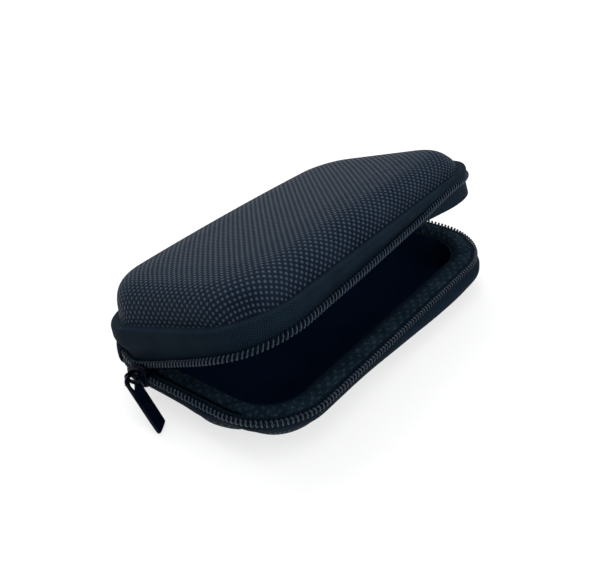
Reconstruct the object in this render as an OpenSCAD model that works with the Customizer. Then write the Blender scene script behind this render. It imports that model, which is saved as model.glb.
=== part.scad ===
// Moulded zip travel case, lid ajar, at the size worked out from the photograph.
// Millimetres. X runs along the case, Y from the open front to the hinge, Z up.
// The origin is the middle of the flat bottom the case rests on.

/* [Case] */
// Length of the zip line, left to right
zip_length = 135.2; // [110:0.2:180]
// Width of the zip line, front to hinge
zip_width = 78.8; // [70:0.2:110]
// Corner radius of the zip line in plan
corner_r = 23.2; // [20:0.2:27]
// How far the lid stands open in the rest state, degrees
rest_angle = 20.4; // [0:0.1:60]

/* [Lid] */
// Height of the lid above the parting plane
lid_height = 17.2; // [15.5:0.1:26]
// Rise of the soft crown on the lid
lid_crown = 1.3; // [0.5:0.1:3]
// Lean of the lid walls, degrees
lid_draft = 10.3; // [4:0.1:16]
// Rounding between lid wall and lid top
lid_round = 8.6; // [5:0.1:10]

/* [Base] */
// Depth of the base below the parting plane
base_depth = 15; // [13:0.1:18]
// Lean of the base walls, degrees
base_draft = 20; // [6:0.5:26]
// Rounding between base wall and bottom
base_round = 7; // [4.5:0.1:8]

/* [Shell layers] */
// Thickness of the woven outer cover
cover_t = 0.6; // [0.4:0.1:1]
// Thickness of the moulded foam at top and bottom
foam_t = 2.2; // [1.5:0.1:3.2]
// Thickness of the pile lining
lining_t = 0.5; // [0.3:0.1:0.8]
// Width of the padded rim seen inside the zip
pad_w = 5; // [4:0.1:6]
// Thickness of the padded rim
pad_t = 2; // [1.6:0.1:2.4]

/* [Zip] */
// Width of one coil, over its loops
coil_d = 2.2; // [1.8:0.1:2.4]
// Gap between the two coils of the closed zip
coil_gap = 1.2; // [1:0.1:1.6]
// Thickness of the zip tape
tape_t = 0.7; // [0.5:0.05:0.9]
// Length of the zip line that one coil loop takes
loop_pitch = 1.5; // [1.2:0.1:2]
// Height of the lid's tape band, parting plane to ledge
lid_band_h = 6.4; // [6.2:0.1:9]
// Height of the base's tape band, parting plane to ledge
base_band_h = 7.6; // [6.8:0.1:8.4]
// Width of the ledge between tape band and cover
ledge_w = 2.4; // [1.6:0.1:3]

/* [Slider and puller] */
// Length of the slider along the zip
slider_l = 8.6; // [7:0.1:10]
// Height of the slider across the zip
slider_h = 7.6; // [7.4:0.1:9]
// Thickness of the slider plates
plate_t = 0.9; // [0.7:0.1:1.1]
// Length of the puller tab, end to end
puller_l = 20.6; // [19:0.1:26]
// Width of the puller tab
puller_w = 4.6; // [4.2:0.1:4.8]
// Thickness of the puller tab
puller_t = 1; // [0.8:0.1:1.1]

/* [Hidden] */

// Round counts: corners in plan, small rounds in section
corner_fn = 28;
round_fn = 20;
bead_fn = 16;

// Plan of the zip line
half_l = zip_length / 2;
half_w = zip_width / 2;
run_x = half_l - corner_r;
run_y = half_w - corner_r;

// Parting plane and hinge line
rim_z = base_depth;
// Radius left round each corner axis, where a dome is level
core_r = 1;
// Rise of the base's almost flat bottom
flat_crown = 0.05;
// Everything stays this far from the parting plane
part_gap = 0.15;
// The hinge line lies just outside the tape at the rear
hinge_out = 1;
hinge_y = half_w + hinge_out;

// Coils: distance of a coil's centre from the parting plane
coil_c = coil_gap / 2 + coil_d / 2;
// The loops stand out from a thinner core
loop_t = 0.7;
loop_core_d = coil_d - 0.9;
// Both coils start this far behind the middle of the case, part way round the rear corners
coil_end_y = run_y + 4.9;
coil_end_turn = asin((coil_end_y - run_y) / corner_r);
// The tape lies behind the coil
tape_back = -coil_d / 2;
// Outermost reach of the tape band
band_out = 0.8;
// The base's tape band tips further inward than the lid's
base_lean = 1.8;
// Foot of the cover walls, measured in from the zip line at the ledge
lid_foot = ledge_w + 0.2;
base_foot = lid_foot + 0.5;
// The covers tuck in beside the end of the tape
lid_tuck_h = lid_band_h - tape_t;
base_tuck_h = base_band_h - tape_t;

// Rim pad: starts behind the slot for the slider's back plate
slot_w = plate_t + 1.1;
pad_out = tape_back - tape_t - slot_w;
pad_in = pad_out - pad_w;
pad_h = 0.4;
pad_r = pad_t / 2 - 0.05;
rim_top = pad_h + pad_t;
// Height of the tape path where it leaves the coil and where it meets the foam
tape_free = coil_c + coil_d / 2 + 0.1;
tape_seat = tape_free + 1.5;

// Inner walls lean like this
lid_inner_draft = 12;
base_inner_draft = 14;
lid_inner_round = 6;
base_inner_round = 4;

// The hinge fabric covers the straight rear run
hinge_half = run_x;

// Slider position along the straight left run
slider_y = run_y - 0.3;
// Faces of the slider's slot: outside the coil, and behind the tape
slot_out = coil_d / 2 + 0.4;
slot_in = tape_back - tape_t - 0.55;
// Lip that holds the coil, and the neck between the two coils
lip_t = 0.6;
lip_reach = 0.8;
neck_t = coil_gap - 0.4;

// Bridge over the slider; its rod carries the puller's eye
rod_d = 1.2;
bridge_l = 6;
bridge_w = 1.6;
leg_t = 0.8;
rod_rise = 2.7;
rod_x = slot_out + plate_t + rod_rise;
// Locking pawl under the bridge
pawl_t = 0.35;
pawl_w = 0.8;

// The puller's eye hangs on the rod and its tip rests on the table
eye_gap = 0.35;
eye_bar = 1.2;
eye_w = puller_w - 2;
eye_l = 2.8;
// The eye's point lies this far toward the tip's low side
eye_side = 0.7;
puller_up = rod_d / 2 + eye_gap + eye_bar;
puller_reach = puller_l - puller_up;
tip_clear = 0.1;
puller_lean = acos(min(1, (rim_z - tip_clear) / norm([puller_reach, puller_t / 2]))) + atan2(puller_t / 2, puller_reach);
// Where along the rod the eye hangs
eye_y = -0.7;

cloth = "#1b1d24";
foam = "#2b2d30";
pile = "#10131c";
webbing = "#17181c";
nylon = "#1e1f22";
metal = "#26282c";

// Unit vector from a to b
function unit(a, b) = (b - a) / norm(b - a);
// Left-hand normal of a direction
function left(v) = [-v[1], v[0]];
// Point i of a path moved t to its left, mitred at the corners
function moved(path, i, t) =
    let (n = len(path),
         before = i > 0 ? left(unit(path[i - 1], path[i])) : left(unit(path[0], path[1])),
         after = i < n - 1 ? left(unit(path[i], path[i + 1])) : left(unit(path[n - 2], path[n - 1])),
         mid = (before + after) / norm(before + after))
    path[i] + mid * t / (mid * before);
// A path moved t to its left
function side(path, t) = [for (i = [0 : len(path) - 1]) moved(path, i, t)];
function flip(path) = [for (i = [len(path) - 1 : -1 : 0]) path[i]];

// Points on an arc, ends included
function arc(c, r, from, to, n) = [for (i = [0 : n]) c + r * [cos(from + (to - from) * i / n), sin(from + (to - from) * i / n)]];

// Half section of a bowl or dome, from its wall at height low to its middle.
// u runs outward from the zip line and h away from the parting plane. The wall passes foot at h = 0
// and leans in by draft, turns into the top over a round and ends on a soft crown of radius crown_r.
// Moving in by t keeps every surface parallel to the outer one.
function dome(foot, draft, round_r, top, crown, t, low) =
    let (wall = -foot - t / cos(draft),
         r = round_r - t,
         span = corner_r - core_r - foot - top * tan(draft),
         crown_r = (span * span + crown * crown) / (2 * crown),
         crown_c = [core_r - corner_r, top - crown_r],
         up = [-sin(draft), cos(draft)],
         out = [cos(draft), sin(draft)],
         start = [wall, 0] - out * r,
         rel = start - crown_c,
         reach = crown_r - t - r,
         b = rel * up,
         // Centre of the round, where it touches both wall and crown
         mid = start + up * (-b + sqrt(b * b - rel * rel + reach * reach)),
         lean = atan2(mid[1] - crown_c[1], mid[0] - crown_c[0]))
    concat([[wall - low * tan(draft), low]],
        arc(mid, r, draft, lean, 7),
        [for (p = arc(crown_c, crown_r - t, lean, 90, 3)) if (p[0] < mid[0] - 0.5) p]);

function lid_dome(t, low = 0) =
    dome(lid_foot - lid_band_h * tan(lid_draft), lid_draft, lid_round, lid_height, lid_crown, t, low);

function base_dome(t, low = 0) =
    dome(base_foot - base_band_h * tan(base_draft), base_draft, base_round, base_depth, flat_crown, t, low);

// Cavities, with their own lean; t moves in from the foam's inner face
function lid_cavity(t) =
    dome(-pad_in - rim_top * tan(lid_inner_draft), lid_inner_draft, lid_inner_round,
        lid_height - cover_t - foam_t, lid_crown, t, rim_top);

function base_cavity(t) =
    dome(-pad_in - rim_top * tan(base_inner_draft), base_inner_draft, base_inner_round,
        base_depth - cover_t - foam_t, flat_crown, t, rim_top);

// The layer between two half sections
module layer(outer, inner) {
    polygon(concat(outer, flip(inner)));
}

// Path of the tape from behind the coil to the foot of the cover; lean tips the band inward
function tape_path(band_h, lean, foot, draft) = [
    [tape_back - tape_t / 2, coil_gap / 2],
    [tape_back - tape_t / 2, tape_free],
    [band_out - tape_t / 2 - lean * 0.5, tape_seat],
    [band_out - tape_t / 2 - lean, band_h - 0.9],
    [band_out - tape_t / 2 - lean - 0.6, band_h - tape_t / 2],
    [-foot + tape_t * tan(draft) + 0.1, band_h - tape_t / 2],
];
lid_tape_path = tape_path(lid_band_h, 0, lid_foot, lid_draft);
base_tape_path = tape_path(base_band_h, base_lean, base_foot, base_draft);

module tape_section(path) {
    polygon(concat(side(path, -tape_t / 2), flip(side(path, tape_t / 2))));
}

// Outline of the thick foam rim: fills the band behind the tape, leaves the slot behind the coil free
function rim_path(path) =
    let (inner = side(path, tape_t / 2))
    [[pad_out, rim_top], [pad_out, tape_seat], inner[2], inner[3], inner[4]];

// Carries a section round the whole zip line; its straight runs and corners are true surfaces
module around() {
    for (s = [-1, 1]) {
        translate([s * run_x, 0, 0]) rotate([90, 0, s > 0 ? 0 : 180])
            linear_extrude(2 * run_y, center = true) translate([corner_r, 0]) children();
        translate([0, s * run_y, 0]) rotate([90, 0, s > 0 ? 90 : -90])
            linear_extrude(2 * run_x, center = true) translate([corner_r, 0]) children();
        for (q = [0, 1]) {
            translate([s * run_x, (q > 0 ? s : -s) * run_y, 0])
                rotate([0, 0, (s > 0 ? 0 : 180) + (q > 0 ? 0 : -90)])
                    rotate_extrude(angle = 90, $fn = corner_fn) translate([corner_r, 0]) children();
        }
    }
}

// The level middle of a bowl or dome, out to the core radius round each corner axis
module middle(from, to) {
    for (grow = [[core_r, 0], [0, core_r]]) {
        translate([-run_x - grow[0], -run_y - grow[1], from])
            cube([2 * (run_x + grow[0]), 2 * (run_y + grow[1]), to - from]);
    }
    for (x = [-run_x, run_x], y = [-run_y, run_y]) {
        translate([x, y, from]) cylinder(r = core_r, h = to - from, $fn = corner_fn);
    }
}

// Carries a section along the straight rear run
module rear_run(half) {
    translate([0, run_y, 0]) rotate([90, 0, 90])
        linear_extrude(2 * half, center = true) translate([corner_r, 0]) children();
}

// Base parts are drawn with h pointing down from the parting plane
module in_base() {
    translate([0, 0, rim_z]) mirror([0, 0, 1]) children();
}

// Lid parts are drawn closed, then turned open about the hinge line
module in_lid() {
    translate([0, hinge_y, rim_z]) rotate([-rest_angle, 0, 0]) translate([0, -hinge_y, 0]) children();
}

// Number of coil loops on a stretch of the zip line
function loops(length) = max(1, round(length / loop_pitch));

// Half section of a straight coil: loops standing out from its core, turned about the y axis.
// The loops at its two ends are drawn with the corners, so that they hold both cores together.
function coil_outline(length) =
    let (n = loops(length),
         step = length / n,
         core = loop_core_d / 2,
         reach = coil_d / 2)
    concat([[0, -length / 2], [core, -length / 2]],
        [for (i = [1 : n - 1], c = [-length / 2 + i * step])
            each [[core, c - loop_t / 2], [reach, c - loop_t / 2], [reach, c + loop_t / 2], [core, c + loop_t / 2]]],
        [[core, length / 2], [0, length / 2]]);

// A straight coil along x
module coil_run(length) {
    rotate([0, 90, 0]) rotate_extrude($fn = bead_fn) polygon(coil_outline(length));
}

// A coil round part of a corner, from angle 0 on.
// Its loops stay clear of the two ends by these many steps.
module coil_corner(turn, first = 0, last = 0) {
    n = loops(corner_r * turn * PI / 180);
    rotate_extrude(angle = turn, $fn = corner_fn) translate([corner_r, 0]) circle(d = loop_core_d, $fn = bead_fn);
    for (i = [first : n - last]) {
        rotate([0, 0, i * turn / n]) translate([corner_r, 0, 0]) rotate([90, 0, 0])
            cylinder(d = coil_d, h = loop_t, center = true, $fn = bead_fn);
    }
}

// The coil of one half along the three opening sides, its centre in the parting plane
module coil() {
    turn = coil_end_turn;
    translate([0, -half_w, 0]) coil_run(2 * run_x);
    for (s = [-1, 1]) {
        translate([s * half_l, 0, 0]) rotate([0, 0, 90]) coil_run(2 * run_y);
        translate([s * run_x, -run_y, 0]) rotate([0, 0, s > 0 ? -90 : 180]) coil_corner(90);
        translate([s * run_x, run_y, 0]) rotate([0, 0, s > 0 ? 0 : 180 - turn])
            coil_corner(turn, s > 0 ? 0 : 1, s > 0 ? 1 : 0);
    }
}

module pad_section() {
    r = pad_r;
    translate([pad_out - r, pad_h + r]) circle(r = r, $fn = bead_fn);
    translate([pad_in + r, pad_h + r]) circle(r = r, $fn = bead_fn);
    translate([pad_in + r, pad_h]) square([pad_w - 2 * r, 2 * r]);
    translate([pad_in, pad_h + r]) square([pad_w, pad_t - r]);
}

// Room for the closed chain at both rear corners, cut from the lid's free tape edge
module chain_room() {
    reach = coil_c + coil_d / 2 + 0.35;
    for (s = [-1, 1]) {
        translate([s > 0 ? run_x : -run_x - 2 * corner_r, coil_end_y - 0.3, 0])
            cube([2 * corner_r, 2 * corner_r, reach]);
    }
}

// Hinge fabric leaf, lying over the tape along the rear run
module leaf_section() {
    polygon([
        [tape_back, part_gap],
        [0.7, part_gap],
        [0.7, 1.9],
        [-0.3, 2.6],
        [tape_back, tape_free - 0.25],
    ]);
}

module base_cover() {
    color(cloth) in_base() {
        around() layer(base_dome(0, base_tuck_h), base_dome(cover_t, base_tuck_h));
        middle(base_depth - cover_t, base_depth);
    }
}

module base_shell() {
    color(foam) in_base() {
        around() layer(concat(rim_path(base_tape_path), base_dome(cover_t, base_tuck_h)), base_cavity(0));
        middle(base_depth - cover_t - foam_t, base_depth - cover_t);
    }
}

module base_lining() {
    floor_h = base_depth - cover_t - foam_t;
    color(pile) in_base() {
        around() layer(base_cavity(0), base_cavity(lining_t));
        middle(floor_h - lining_t, floor_h);
    }
}

module base_rim_pad() {
    color(pile) in_base() around() pad_section();
}

module base_tape() {
    color(webbing) in_base() around() tape_section(base_tape_path);
}

module base_coil() {
    color(nylon) in_base() translate([0, 0, coil_c]) coil();
}

module base_hinge_leaf() {
    color(webbing) in_base() rear_run(hinge_half) leaf_section();
}

// Closed stretch of the zip round one rear corner: two coils on a common web
module chain(s) {
    turn = 90 - coil_end_turn;
    color(nylon) translate([s * run_x, run_y, rim_z]) rotate([0, 0, s > 0 ? coil_end_turn : 90]) {
        for (z = [-coil_c, coil_c]) {
            translate([0, 0, z]) coil_corner(turn, 0.5, 0.5);
        }
        rotate_extrude(angle = turn, $fn = corner_fn) translate([corner_r - 0.4, -coil_c]) square([0.8, 2 * coil_c]);
    }
}

module chain_left() {
    chain(-1);
}

module chain_right() {
    chain(1);
}

// Folded fabric tab sewn over the end of the chain, part way round the corner
module zip_end(s) {
    from = 28;
    turn = 24;
    color(webbing) translate([s * run_x, run_y, rim_z])
        rotate([0, 0, s > 0 ? from : 180 - from - turn])
            rotate_extrude(angle = turn, $fn = corner_fn)
                translate([corner_r + coil_d / 2, -tape_free]) square([0.8, 2 * tape_free]);
}

module zip_end_left() {
    zip_end(-1);
}

module zip_end_right() {
    zip_end(1);
}

module lid_cover() {
    color(cloth) in_lid() {
        around() layer(lid_dome(0, lid_tuck_h), lid_dome(cover_t, lid_tuck_h));
        middle(lid_height - cover_t, lid_height);
    }
}

module lid_shell() {
    color(foam) in_lid() {
        around() layer(concat(rim_path(lid_tape_path), lid_dome(cover_t, lid_tuck_h)), lid_cavity(0));
        middle(lid_height - cover_t - foam_t, lid_height - cover_t);
    }
}

module lid_lining() {
    roof_h = lid_height - cover_t - foam_t;
    color(pile) in_lid() {
        around() layer(lid_cavity(0), lid_cavity(lining_t));
        middle(roof_h - lining_t, roof_h);
    }
}

module lid_rim_pad() {
    color(pile) in_lid() around() pad_section();
}

module lid_tape() {
    color(webbing) in_lid() difference() {
        around() tape_section(lid_tape_path);
        chain_room();
    }
}

module lid_coil() {
    color(nylon) in_lid() translate([0, 0, coil_c]) coil();
}

module lid_hinge_leaf() {
    color(webbing) in_lid() rear_run(hinge_half) leaf_section();
}

// Slider frame: x outward from the case, y along the zip, z across it
module at_slider() {
    translate([-half_l, slider_y, rim_z]) mirror([1, 0, 0]) children();
}

// Plate of the slider seen from outside, narrowed at both ends
module slider_plate() {
    w = slider_h / 2;
    l = slider_l / 2;
    polygon([[-l + 1, -w], [l - 2.4, -w], [l, -w + 0.9], [l, w - 0.9], [l - 2.4, w], [-l + 1, w], [-l, w - 1], [-l, 1 - w]]);
}

module slider_body() {
    color(metal) at_slider() {
        difference() {
            translate([slot_out, 0, 0]) rotate([90, 0, 90]) linear_extrude(plate_t) slider_plate();
            // Window the pawl's tooth drops through
            translate([slot_out - 1, -2.2, -pawl_w / 2 - 0.15]) cube([3, 1.1, pawl_w + 0.3]);
        }
        translate([slot_in - plate_t, 0, 0]) rotate([90, 0, 90]) linear_extrude(plate_t) slider_plate();
        // Neck that parts the two coils at the mouth
        translate([slot_in - plate_t / 2, -slider_l / 2 + 0.2, -neck_t / 2])
            cube([slot_out - slot_in + plate_t, 1.4, neck_t]);
        // Lip that holds the base's coil
        translate([slot_out - lip_reach, -slider_l / 2 + 1, -slider_h / 2])
            cube([lip_reach + plate_t / 2, slider_l - 3.4, lip_t]);
    }
}

module slider_bridge() {
    foot = slot_out + plate_t;
    color(metal) at_slider() {
        translate([rod_x, 0, 0]) rotate([90, 0, 0]) cylinder(d = rod_d, h = bridge_l, center = true, $fn = round_fn);
        for (s = [-1, 1]) {
            translate([foot, s * (bridge_l - leg_t) / 2, 0]) {
                translate([rod_rise / 2, 0, 0]) cube([rod_rise, leg_t, bridge_w], center = true);
                translate([rod_rise, 0, 0]) rotate([90, 0, 0])
                    cylinder(d = bridge_w, h = leg_t, center = true, $fn = round_fn);
            }
        }
    }
}

module slider_pawl() {
    foot = slot_out + plate_t;
    inner = bridge_l / 2 - leg_t - 0.1;
    color(metal) at_slider() {
        translate([foot, -inner, -pawl_w / 2]) cube([pawl_t, 2 * inner, pawl_w]);
        // Tooth that reaches toward the coils
        translate([slot_out + 0.1, -2, -pawl_w / 2]) cube([plate_t, 0.7, pawl_w]);
    }
}

// Puller in its own plane: w outward, downward along minus y, the rod at the origin
function puller_outline() =
    let (w = puller_w / 2,
         tip_r = 0.9,
         edge_r = 0.6,
         low = -puller_reach,
         slant = 2)
    concat(arc([0, puller_up - w], w, 180, 0, 12),
        arc([w - tip_r, low + tip_r], tip_r, 0, -75, 4),
        arc([edge_r - w, low + slant + edge_r], edge_r, -120, -180, 3));

// Eye, round above and drawn to a blunt point below
function puller_eye() =
    concat(arc([0, 0], eye_w / 2, 180, 0, 10), arc([eye_side, 0.3 - eye_l], 0.3, -20, -160, 3));

module puller_tab() {
    color(metal) at_slider() translate([rod_x, eye_y, 0]) rotate([-puller_lean, 0, 0])
        rotate([90, 0, 0]) linear_extrude(puller_t, center = true) difference() {
            polygon(puller_outline());
            polygon(puller_eye());
        }
}

base_cover();
base_shell();
base_lining();
base_rim_pad();
base_tape();
base_coil();
base_hinge_leaf();
chain_left();
chain_right();
zip_end_left();
zip_end_right();
lid_cover();
lid_shell();
lid_lining();
lid_rim_pad();
lid_tape();
lid_coil();
lid_hinge_leaf();
slider_body();
slider_bridge();
slider_pawl();
puller_tab();
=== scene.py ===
"""Looks of the moulded zip travel case, lid ajar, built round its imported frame.

Lengths are worked out in millimetres and become metres as a mesh is made. X runs along the case,
Y from the open front to the hinge and Z up, as in the frame.
"""

from __future__ import annotations

import logging
import math
from dataclasses import dataclass
from enum import Enum
from typing import Any, Callable, Sequence

import bmesh
import bpy
import numpy as np
from mathutils import Euler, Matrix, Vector

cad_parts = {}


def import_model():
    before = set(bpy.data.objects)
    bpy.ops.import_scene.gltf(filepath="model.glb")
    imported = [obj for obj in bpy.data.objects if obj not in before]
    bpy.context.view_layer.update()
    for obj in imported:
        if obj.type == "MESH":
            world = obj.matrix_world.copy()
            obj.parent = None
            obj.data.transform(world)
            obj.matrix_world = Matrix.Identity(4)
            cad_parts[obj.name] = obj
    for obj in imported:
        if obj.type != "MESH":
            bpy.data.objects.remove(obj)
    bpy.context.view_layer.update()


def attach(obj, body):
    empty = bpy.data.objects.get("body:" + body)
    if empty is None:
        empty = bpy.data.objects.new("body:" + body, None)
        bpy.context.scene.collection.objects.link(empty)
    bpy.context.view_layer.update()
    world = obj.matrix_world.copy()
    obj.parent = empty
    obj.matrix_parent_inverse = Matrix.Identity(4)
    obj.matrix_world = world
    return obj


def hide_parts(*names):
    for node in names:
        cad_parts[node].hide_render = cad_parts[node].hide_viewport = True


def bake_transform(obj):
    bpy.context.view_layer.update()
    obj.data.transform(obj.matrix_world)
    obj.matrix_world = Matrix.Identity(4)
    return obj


log = logging.getLogger("case")

MM = 0.001

# Height of the parting plane, where the hinge line runs, and how far the lid stands open at rest.
RIM_Z = 15.0
HINGE_Y = 40.4
REST_ANGLE = math.radians(20.4)

# Folds sharper than this keep a hard edge.
HARD_FOLD = math.radians(50)

# A colour or a place, and a path's corners or a curve's stops.
Triple = tuple[float, float, float]
Path = tuple[tuple[float, float], ...]


class Half(Enum):
    """The two halves of the case; the value is the way that heights point from the parting plane."""

    BASE = -1
    LID = 1


def smoothstep(t: np.ndarray) -> np.ndarray:
    """Rises from 0 to 1 as 3t² − 2t³ and is level beyond both ends."""
    t = np.clip(t, 0.0, 1.0)
    return t * t * (3.0 - 2.0 * t)


def smoothed(path: Sequence[Sequence[float]], rounds: int = 3) -> np.ndarray:
    """Cuts the corners of an open path; each round puts points at 1/4 and 3/4 of every stretch.

    Args:
        path: Corner points.
        rounds: How often the corners are cut.

    Returns:
        The rounded path, with the same ends.
    """
    points = np.asarray(path, float)
    for _ in range(rounds):
        cut = np.empty((2 * (len(points) - 1), points.shape[1]))
        cut[0::2] = 0.75 * points[:-1] + 0.25 * points[1:]
        cut[1::2] = 0.25 * points[:-1] + 0.75 * points[1:]
        points = np.vstack([points[:1], cut, points[-1:]])
    return points


def through(stops: Sequence[tuple[float, float]], at: np.ndarray) -> np.ndarray:
    """A smooth curve through the stops, read at each place and level beyond both ends.

    Between two stops it is the cubic that has, at each, the slope of the stops around it.
    """
    place, value = np.array(stops).T
    slope = np.gradient(value, place)
    slope[0] = slope[-1] = 0.0
    at = np.clip(at, place[0], place[-1])
    after = np.clip(np.searchsorted(place, at, side="right"), 1, len(place) - 1)
    span = place[after] - place[after - 1]
    t = (at - place[after - 1]) / span
    start = value[after - 1] * (1 + 2 * t) * (1 - t) ** 2 + slope[after - 1] * span * t * (1 - t) ** 2
    return start + value[after] * t * t * (3 - 2 * t) - slope[after] * span * t * t * (1 - t)


def lengths(path: np.ndarray) -> np.ndarray:
    """Running length at each point of a path."""
    steps = np.linalg.norm(np.diff(path, axis=0), axis=1)
    return np.concatenate([[0.0], np.cumsum(steps)])


def flattened(wave: np.ndarray, power: float) -> np.ndarray:
    """The wave to a power, with its sign kept; a power below 1 squares its crests."""
    return np.sign(wave) * np.abs(wave) ** power


def circle(count: int) -> np.ndarray:
    """Angles of so many points evenly round a circle."""
    return np.linspace(0, 2 * np.pi, count, endpoint=False)


def cloth_uv(along: np.ndarray, across: np.ndarray) -> np.ndarray:
    """Cloth coordinates of a grid, from the running lengths of its rows and of its columns."""
    return np.stack(np.broadcast_arrays(along[:, None], across[None]), axis=-1)


def capped(tube: np.ndarray) -> np.ndarray:
    """Closes a tube of rings, (m, n, 3), with a ring at each end shrunk to that end's middle."""
    ends = (tube[:1], tube[-1:])
    first, last = (np.repeat(ring.mean(axis=1, keepdims=True), tube.shape[1], axis=1) for ring in ends)
    return np.concatenate([first, tube, last])

def turned(points: np.ndarray, share: np.ndarray | float) -> np.ndarray:
    """Turns points of the closed case about the hinge line, by a share of the rest angle each.

    Args:
        points: Places on the closed case, (..., 3).
        share: 0 keeps a point on the base, 1 takes it all the way with the lid.

    Returns:
        The places with the lid ajar.
    """
    angle = -REST_ANGLE * share
    y = points[..., 1] - HINGE_Y
    z = points[..., 2] - RIM_Z
    turned_y = HINGE_Y + y * np.cos(angle) - z * np.sin(angle)
    turned_z = RIM_Z + y * np.sin(angle) + z * np.cos(angle)
    return np.stack([points[..., 0], turned_y, turned_z], axis=-1)


@dataclass(frozen=True)
class ZipLine:
    """Plan of the zip: straight runs and quarter circles, walked rear, left, front, right."""

    half_l: float = 67.6
    half_w: float = 39.4
    corner_r: float = 23.2

    @property
    def run_x(self) -> float:
        """Half of the straight front run."""
        return self.half_l - self.corner_r

    @property
    def run_y(self) -> float:
        """Half of the straight end runs."""
        return self.half_w - self.corner_r

    @property
    def marks(self) -> np.ndarray:
        """Running lengths where runs and corners meet, from the middle of the rear run."""
        arc = self.corner_r * math.pi / 2
        run_x, run_y = self.run_x, self.run_y
        return np.cumsum([0, run_x, arc, 2 * run_y, arc, 2 * run_x, arc, 2 * run_y, arc, run_x])

    def spine(self, s: np.ndarray) -> tuple[np.ndarray, np.ndarray]:
        """Centre that the outward ray at s starts from, and the ray's direction.

        The centre walks round a rectangle and the direction turns only at its corners.
        """
        x, y = self.run_x, self.run_y
        marks = self.marks
        s = np.mod(s, marks[-1])
        centre_x = np.interp(s, marks, [0, -x, -x, -x, -x, x, x, x, x, 0])
        centre_y = np.interp(s, marks, [y, y, y, -y, -y, -y, -y, y, y, y])
        angle = np.radians(np.interp(s, marks, [90, 90, 180, 180, 270, 270, 360, 360, 450, 450]))
        centre = np.stack([centre_x, centre_y], axis=-1)
        return centre, np.stack([np.cos(angle), np.sin(angle)], axis=-1)

    def place(self, s: np.ndarray, u: np.ndarray, h: np.ndarray, half: Half) -> np.ndarray:
        """Point of the closed case at running length s, u outward of the zip line and h from its plane."""
        centre, out = self.spine(s)
        plan = centre + out * (self.corner_r + u)[..., None]
        return np.concatenate([plan, (RIM_Z + half.value * h)[..., None]], axis=-1)

    def stations(self, step: float, start: float = 0.0, end: float | None = None) -> np.ndarray:
        """Running lengths no further apart than step; marks and the front run's middle are kept."""
        end = self.marks[-1] if end is None else end
        kept = sorted([*self.marks, self.marks[-1] / 2])
        stops = [start, *[m for m in kept if start + 0.01 < m < end - 0.01], end]
        parts = [
            np.linspace(a, b, max(2, math.ceil((b - a) / step) + 1))[:-1] for a, b in zip(stops, stops[1:])
        ]
        return np.concatenate([*parts, [end]])


ZIP = ZipLine()


@dataclass(frozen=True)
class Droop:
    """How the zip's free edge leaves the base behind the slider and joins the lid toward the front.

    Each stop pairs a running length with the share of the lid's turn that the edge takes there. The
    edge keeps up with the lid along the front and comes down again along the right end.
    """

    right: Path
    left: Path = (
        (74.0, 0.0), (84.0, 0.285), (92.0, 0.49), (100.0, 0.63), (108.0, 0.725), (116.0, 0.805),
        (128.0, 0.855), (148.0, 0.915), (172.0, 0.945), (196.0, 0.985),
    )

    def opened(
        self, closed: np.ndarray, s: np.ndarray, held: np.ndarray | float = 0.0
    ) -> tuple[np.ndarray, np.ndarray]:
        """Points of the closed zip with the lid ajar.

        Args:
            closed: Places on the closed case.
            s: Running length of each.
            held: 0 for a free point, 1 for one that the lid holds.

        Returns:
            The opened places, and the share of the lid's turn that each took.
        """
        free = through(self.left + self.right, np.mod(s, ZIP.marks[-1]))
        share = free * (1.0 - held) + held
        return turned(closed, share), share


COIL_DROOP = Droop(
    ((212.0, 1.015), (228.0, 1.065), (240.0, 1.08), (254.0, 1.05), (264.0, 0.94), (276.0, 0.77),
     (286.0, 0.62), (296.0, 0.45), (304.0, 0.27), (313.0, 0.0))
)
TAPE_DROOP = Droop(
    ((210.0, 0.985), (222.0, 0.93), (234.0, 0.875), (246.0, 0.86), (258.0, 0.84), (272.0, 0.77),
     (284.0, 0.65), (296.0, 0.45), (304.0, 0.27), (313.0, 0.0))
)


def best_blend(
    points: np.ndarray, share: np.ndarray, trust: np.ndarray, rounds: int = 60, pace: float = 0.4
) -> tuple[Vector, Vector]:
    """Ends of the straight measure whose smooth step follows the wanted shares most closely.

    The measure is linear in y and z. Least squares gives its first guess, and Gauss-Newton
    steps on smoothstep(t) − share improve it. A share above 1 counts as 1.

    Args:
        points: Places in millimetres, (..., 3).
        share: Wanted share at each.
        trust: How much each place counts.
        rounds: How many steps are taken.
        pace: Part of each step that is gone.

    Returns:
        The measure's start and end as points in metres.
    """
    flat = points.reshape(-1, 3)
    want = np.clip(share.reshape(-1), 0, 1)
    root = np.sqrt(np.broadcast_to(trust, share.shape).reshape(-1))
    terms = np.column_stack([np.ones(len(flat)), flat[:, 1:]])
    first = 0.5 - np.sin(np.arcsin(1 - 2 * want) / 3)
    guess = np.linalg.lstsq(terms * root[:, None], first * root, rcond=None)[0]
    for _ in range(rounds):
        t = np.clip(terms @ guess, 0, 1)
        slope = (6 * t * (1 - t) * root)[:, None] * terms
        guess = guess - pace * np.linalg.lstsq(slope, (smoothstep(t) - want) * root, rcond=None)[0]
    grade = Vector((0.0, guess[1], guess[2]))
    start = grade * (-guess[0] / grade.length_squared)
    end = start + grade / grade.length_squared
    return start * MM, end * MM


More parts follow.
